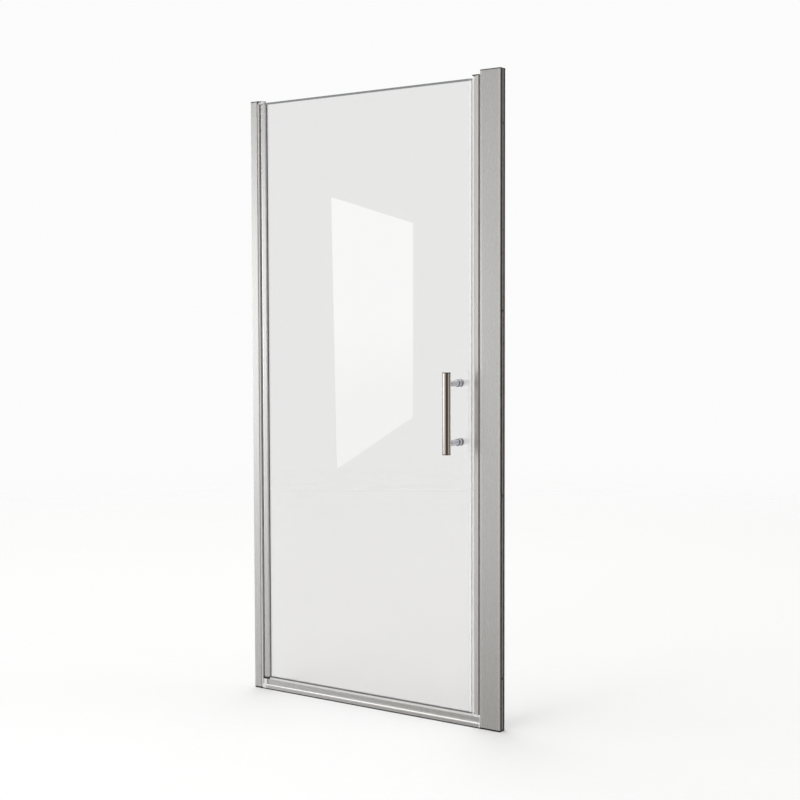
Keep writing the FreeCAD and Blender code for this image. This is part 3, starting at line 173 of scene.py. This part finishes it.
def moulded(name, dark, light, rough, grain_size, depth, specular=0.5):
    """Moulded plastic or rubber with a fine sparkle grain."""
    material, graph = new_material(name)
    grain = graph.noise(graph.stretched(EVEN), 1.0 / grain_size, 4.0, 0.6)
    cloud = graph.noise(graph.stretched(EVEN), MOULDED_CLOUDS)
    finish_surface(graph, Base_Color=graph.blend(graph.mix(grain, cloud, MOULDED_GRAIN_SHARE), dark, light),
                   Roughness=graph.vary(grain, rough, MOULDED_ROUGHNESS_SPREAD),
                   Normal=graph.bump(grain, depth), Specular_IOR_Level=specular)
    return material


GLASS_CLOUDS = (6.0, 6.0, 1.5)
GLASS_TONES = ((0.87, 0.87, 0.865), (0.89, 0.89, 0.885))
GLASS_IOR = 1.5
# A clear coat gives the glass the strength of the photo's reflection.
GLASS_COAT_IOR = 2.2
# Painted shade: dark bands along the bottom and the top edge of the glass, darkest at its foot above the
# sill:
# their heights, their tones, and the share of the height from which the band fades out.
GLASS_EDGE_SHADE_HEIGHTS = (0.0048, 0.0065)
GLASS_EDGE_SHADE_TONES = ((0.01, 0.01, 0.01), (0.19, 0.20, 0.20))
GLASS_EDGE_SHADE_FADE = 0.8


def clear_pane(name):
    """Clear glass, faintly clouded, with painted shade in dark bands along its bottom and top edges."""
    material, graph = new_material(name)
    clouds = graph.noise(graph.stretched(GLASS_CLOUDS), 1.0, 3.0)
    low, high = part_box("door_glass")
    height = graph.part(2)
    above = graph.math("DIVIDE", graph.math("SUBTRACT", height, low.z), GLASS_EDGE_SHADE_HEIGHTS[0])
    below = graph.math("DIVIDE", graph.math("SUBTRACT", high.z, height), GLASS_EDGE_SHADE_HEIGHTS[1])
    clear_of_edge_shade = graph.remap(graph.math("MINIMUM", above, below), GLASS_EDGE_SHADE_FADE, 1.0)
    # Painted shade along the bottom and top edges of the glass.
    edge = graph.blend(graph.remap(height, low.z, high.z), *GLASS_EDGE_SHADE_TONES)
    finish_surface(graph, Base_Color=graph.blend(clear_of_edge_shade, edge, graph.blend(clouds, *GLASS_TONES)),
                   Roughness=0.0, IOR=GLASS_IOR, Transmission_Weight=1.0,
                   Coat_Weight=1.0, Coat_IOR=GLASS_COAT_IOR, Coat_Roughness=0.0)
    return material


PLASTIC_CLOUDS = (40.0, 40.0, 4.0)
PLASTIC_IOR = 1.45
PLASTIC_ROUGHNESS_SPREAD = 0.03


def clear_plastic(name, dark, light, rough, opacity):
    """Clear or milky plastic."""
    material, graph = new_material(name)
    cloud = graph.noise(graph.stretched(PLASTIC_CLOUDS), 1.0, 3.0)
    finish_surface(graph, Base_Color=graph.blend(cloud, dark, light), IOR=PLASTIC_IOR, Alpha=opacity,
                   Roughness=graph.vary(cloud, rough, PLASTIC_ROUGHNESS_SPREAD))
    return material


ALONG_Z = (1.0, 1.0, 0.01)
ALONG_X = (0.01, 1.0, 1.0)
FINE_LINES = (2200.0, 0.000006)       # lines per metre and depth
STRIKE_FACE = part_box("strike_wall_channel")[1].x

# name, dark and light tone, roughness, grain, lines per metre, their depth, face behind which groove shade is
# painted, metallic
METALS = (
    ("satin_aluminium", (0.72, 0.715, 0.70), (0.76, 0.755, 0.745), 0.27, ALONG_Z, *FINE_LINES),
    ("sill_aluminium", (0.72, 0.715, 0.70), (0.76, 0.755, 0.745), 0.27, ALONG_X, *FINE_LINES),
    ("soft_aluminium", (0.64, 0.625, 0.61), (0.68, 0.665, 0.65), 0.42, ALONG_Z, *FINE_LINES),
    ("matt_aluminium", (0.80, 0.795, 0.785), (0.84, 0.835, 0.825), 0.42, ALONG_Z, *FINE_LINES, None, 0.5),
    # The channel's grooves get painted shade behind its face.
    ("channel_aluminium_painted_shade", (0.66, 0.655, 0.64), (0.74, 0.735, 0.725), 0.27, ALONG_Z, *FINE_LINES, STRIKE_FACE),
    ("pivot_steel", (0.55, 0.55, 0.55), (0.64, 0.64, 0.64), 0.2, ALONG_Z, 1500.0, 0.00001),
    ("screw_steel", (0.58, 0.58, 0.57), (0.68, 0.68, 0.67), 0.3, EVEN, 1500.0, 0.00001),
    ("handle_nickel", (0.65, 0.59, 0.53), (0.75, 0.70, 0.65), 0.12, ALONG_Z, 1800.0, 0.00002),
    ("plug_nickel", (0.15, 0.14, 0.13), (0.21, 0.195, 0.18), 0.25, ALONG_Z, 1800.0, 0.00002),
    ("handle_chrome", (0.46, 0.46, 0.50), (0.54, 0.54, 0.58), 0.06, EVEN, 300.0, 0.000002),
)
# name, dark and light tone, roughness, size and depth of the grain, specular level
MOULDINGS = (
    ("bright_nylon", (0.74, 0.74, 0.73), (0.84, 0.84, 0.83), 0.45, 0.0015, 0.00003),
    ("dark_nylon", (0.015, 0.017, 0.022), (0.03, 0.033, 0.04), 0.4, 0.0015, 0.00003),
    # dark_pad: the foot pads' own dark rubber, darkened further to near black as painted shade for the
    # contact line at the floor.
    ("dark_pad", (0.006, 0.006, 0.006), (0.014, 0.014, 0.013), 0.8, 0.001, 0.00005, 0.15),
    ("cap_grey", (0.055, 0.055, 0.054), (0.09, 0.09, 0.088), 0.5, 0.0015, 0.00003),
    ("cover_plastic", (0.42, 0.42, 0.41), (0.52, 0.52, 0.51), 0.35, 0.0012, 0.00002),
    ("magnet_dark", (0.16, 0.14, 0.12), (0.24, 0.21, 0.19), 0.45, 0.002, 0.00002),
    ("magnet_pale", (0.80, 0.80, 0.79), (0.90, 0.90, 0.89), 0.45, 0.002, 0.00002),
    ("gasket_grey", (0.48, 0.48, 0.48), (0.56, 0.56, 0.56), 0.5, 0.001, 0.00002),
)
# name, dark and light tone, roughness, opacity
CLEAR_PLASTICS = (
    ("clear_seal", (0.90, 0.90, 0.89), (0.97, 0.97, 0.96), 0.3, 0.08),
    ("clear_plastic", (0.86, 0.86, 0.86), (0.92, 0.92, 0.92), 0.12, 0.4),
)
MAKERS = ((brushed_metal, METALS), (moulded, MOULDINGS), (clear_plastic, CLEAR_PLASTICS),
          (clear_pane, (("clear_glass",),)))
MATERIALS = {row[0]: maker(*row) for maker, rows in MAKERS for row in rows}

# Nodes whose material is a variant of their slot's.
OTHER_MATERIALS = {
    "sill_rail": "sill_aluminium",
    "strike_jamb": "soft_aluminium",
    "hinge_post": "matt_aluminium",
    "strike_wall_channel": "channel_aluminium_painted_shade",
    "handle_end_plugs": "plug_nickel",
}


def dress_nodes():
    """Gives every CAD node the material of its slot in the record, or its variant."""
    for part in frame["record"]["subparts"]:
        node = part["node"]
        name = OTHER_MATERIALS.get(node, part["material_slot"])
        slots = frame["nodes"][node].data.materials
        slots.clear()
        slots.append(MATERIALS[name])
    frame["nodes"]["door_glass"].visible_shadow = False


# Camera

CAMERA_PLACE = Vector((2.45524, -3.39323, 1.14048))
CAMERA_HEADING = math.radians(-34.74)      # from +Y, positive towards +X
CAMERA_PITCH = math.radians(2.98)          # downwards
CAMERA_ROLL = math.radians(-0.15)
LENS_MM = 63.64
SENSOR_MM = 36.0


def add_camera():
    """The camera where the photograph was taken from."""
    data = bpy.data.cameras.new("camera")
    data.lens = LENS_MM
    data.sensor_width = SENSOR_MM
    camera = bpy.data.objects.new("camera", data)
    scene.collection.objects.link(camera)
    ahead = Vector((math.sin(CAMERA_HEADING) * math.cos(CAMERA_PITCH),
                    math.cos(CAMERA_HEADING) * math.cos(CAMERA_PITCH), -math.sin(CAMERA_PITCH)))
    level_right = ahead.cross(Vector((0, 0, 1))).normalized()
    level_up = level_right.cross(ahead)
    right = math.cos(CAMERA_ROLL) * level_right + math.sin(CAMERA_ROLL) * level_up
    up = right.cross(ahead)
    turn = Matrix((right, up, -ahead)).transposed().to_4x4()
    camera.matrix_world = Matrix.Translation(CAMERA_PLACE) @ turn
    scene.camera = camera


# Studio

# Soft boxes of the surroundings, in degrees.  Headings are measured as the camera's is.
SURROUNDINGS = (
    # heading, half width, edge, elevation, half height, edge, brightness
    (-34.7, 40.0, 30.0, -1.0, 19.0, 12.0, 0.89),     # white wall behind the door
    (-34.7, 40.0, 22.0, -19.0, 10.0, 5.0, 0.04),     # its foot
    (-146.0, 14.0, 14.0, 0.0, 8.0, 10.0, 0.19),      # in front, at the left
    (-126.5, 8.0, 5.0, 0.7, 4.0, 3.0, 2.60),         # bright strip further left
    (-128.0, 8.0, 5.0, -14.0, 7.0, 5.0, 0.42),       # low under that strip
    (-148.0, 8.0, 8.0, -20.0, 5.0, 5.0, 0.16),       # low in front
    (-160.0, 26.0, 14.0, 1.0, 7.0, 16.0, 0.28),      # wide, in front
    (-169.0, 8.0, 6.0, 0.0, 12.0, 15.0, 0.55),       # bright, in front at the right
    (-100.0, 24.0, 18.0, 5.0, 30.0, 30.0, 0.20),     # left
    (125.0, 50.0, 25.0, -27.0, 9.0, 9.0, 0.40),      # low in front, at the right
    (76.0, 22.0, 12.0, 5.0, 40.0, 30.0, 0.42),       # right
    (-140.0, 50.0, 20.0, 41.0, 8.0, 8.0, 1.50),      # high in front
)
AMBIENT = 0.08
CEILING = 1.6
CEILING_RISE = (40.0, 72.0)      # elevations between which the ceiling grows bright
BACKDROP = 0.97
# The dim parts of the room are warmer than the bright ones, up to this brightness.
DIM_TINT = (1.0, 0.89, 0.79)
DIM_FULL = 0.55


def soft_step(graph, angle, half, edge):
    """One within half the box, falling to nothing over its soft edge; half and edge in degrees."""
    return graph.remap(angle, math.radians(half), math.radians(half + edge), 1.0, 0.0, True)


def add_world():
    """Surroundings made of soft boxes, a bright ceiling and a dim rest, all before a pale backdrop.

    The boxes show in reflections and light the door; the camera sees the backdrop all round.
    """
    world = bpy.data.worlds.new("studio")
    world.use_nodes = True
    scene.world = world
    graph = Graph(world.node_tree)
    direction = graph.add("ShaderNodeSeparateXYZ", {0: graph.coordinates("Generated")}).outputs
    heading = graph.math("ARCTAN2", direction[0], direction[1])
    elevation = graph.math("ARCSINE", direction[2])
    total = AMBIENT
    for azimuth, wide, wide_edge, rise, tall, tall_edge, brightness in SURROUNDINGS:
        turn = graph.math("SUBTRACT", heading, math.radians(azimuth))
        turn = graph.math("ABSOLUTE", graph.math("WRAP", turn, math.pi, -math.pi))
        climb = graph.math("ABSOLUTE", graph.math("SUBTRACT", elevation, math.radians(rise)))
        box = graph.math("MULTIPLY", soft_step(graph, turn, wide, wide_edge),
                         soft_step(graph, climb, tall, tall_edge))
        total = graph.math("ADD", graph.math("MULTIPLY", box, brightness), total)
    low, high = (math.radians(angle) for angle in CEILING_RISE)
    total = graph.math("ADD", graph.remap(elevation, low, high, 0.0, CEILING, True), total)
    path = graph.add("ShaderNodeLightPath").outputs
    seen = graph.math("MAXIMUM", path["Is Camera Ray"], path["Is Transmission Ray"])
    total = graph.math("MULTIPLY_ADD", seen, graph.math("SUBTRACT", BACKDROP, total), total)
    tint = graph.blend(graph.remap(total, AMBIENT, DIM_FULL), DIM_TINT, WHITE)
    graph.finish(graph.add("ShaderNodeBackground", {"Color": tint, "Strength": total}),
                 "ShaderNodeOutputWorld")


FLOOR_RADIUS = 9.0
FLOOR_CORNERS = 96
FLOOR_FADE = (2.5, 7.5)
FLOOR_TONES = ((0.77, 0.77, 0.77), (0.79, 0.79, 0.79))
FLOOR_GRAIN = 40.0               # per metre


def add_floor():
    """A pale floor that fades into the backdrop."""
    bpy.ops.mesh.primitive_circle_add(vertices=FLOOR_CORNERS, radius=FLOOR_RADIUS, fill_type="NGON")
    floor = bpy.context.object
    floor.name = "floor"
    material, graph = new_material("pale_floor")
    place = graph.coordinates()
    distance = graph.add("ShaderNodeVectorMath", {0: place}, operation="LENGTH").outputs["Value"]
    fade = graph.remap(distance, *FLOOR_FADE, 0.0, 1.0, True)
    colour = graph.blend(graph.noise(place, FLOOR_GRAIN, 3.0), *FLOOR_TONES)
    solid = graph.add("ShaderNodeBsdfDiffuse", {"Color": colour})
    clear = graph.add("ShaderNodeBsdfTransparent")
    graph.finish(graph.add("ShaderNodeMixShader", {0: fade, 1: solid.outputs[0], 2: clear.outputs[0]}))
    floor.data.materials.append(material)
    floor.visible_glossy = False


# The bright window that the glass mirrors.  Each corner is a point of the 800-pixel picture, across and
# down, and how far behind the glass it seems to be.
PICTURE_PX = 800
WINDOW_CORNERS = ((331.0, 197.0, 6.0), (413.0, 223.0, 8.4), (413.0, 417.0, 8.4), (337.0, 469.0, 6.0))
# Brightness at the foot and the head, and the heights between which it changes.
WINDOW_BRIGHTNESS = (1.02, 1.18)
WINDOW_FADE = (0.15, 0.55)


def window_corner(across, down, distance):
    """The picture's point carried to its distance from the camera, and mirrored at the glass."""
    turn = scene.camera.matrix_world.to_3x3()
    scale = SENSOR_MM / LENS_MM / PICTURE_PX
    ray = turn @ Vector(((across - PICTURE_PX / 2) * scale, -(down - PICTURE_PX / 2) * scale, -1.0))
    behind = CAMERA_PLACE + ray * distance
    glass_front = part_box("door_glass")[0].y
    return Vector((behind.x, 2 * glass_front - behind.y, behind.z))


def add_window():
    """A bright panel in front of the door that only reflections see."""
    corners = [window_corner(*corner) for corner in WINDOW_CORNERS]
    mesh = bpy.data.meshes.new("window")
    mesh.from_pydata(corners, [], [tuple(range(len(corners)))])
    window = bpy.data.objects.new("window", mesh)
    scene.collection.objects.link(window)
    material, graph = new_material("window_glow")
    strength = graph.remap(graph.part(2, "Generated"), *WINDOW_FADE, *WINDOW_BRIGHTNESS, True)
    graph.finish(graph.add("ShaderNodeEmission", {"Color": (*WHITE, 1.0), "Strength": strength}))
    mesh.materials.append(material)
    window.visible_camera = False
    window.visible_diffuse = False
    window.visible_shadow = False


# name: place, aim, size, power
SOFT_LIGHTS = {
    "key": ((-3.0, 1.9, 14.0), (0.0, 0.0, 0.6), 6.0, 620.0),
    "fill": ((-1.5, -9.0, 5.0), (0.0, 0.0, 0.7), 5.0, 150.0),
}


def add_soft_lights():
    """A large light above and behind at the left, and a dim one in front; neither shows in the metal."""
    for name, (place, aim, size, power) in SOFT_LIGHTS.items():
        data = bpy.data.lights.new(name, "AREA")
        data.shape = "DISK"
        data.size = size
        data.energy = power
        light = bpy.data.objects.new(name, data)
        light.location = place
        light.rotation_euler = (Vector(aim) - Vector(place)).to_track_quat("-Z", "Y").to_euler()
        light.visible_glossy = False
        scene.collection.objects.link(light)


dress_nodes()
add_camera()
add_world()
add_floor()
add_window()
add_soft_lights()
scene.view_settings.view_transform = "Standard"
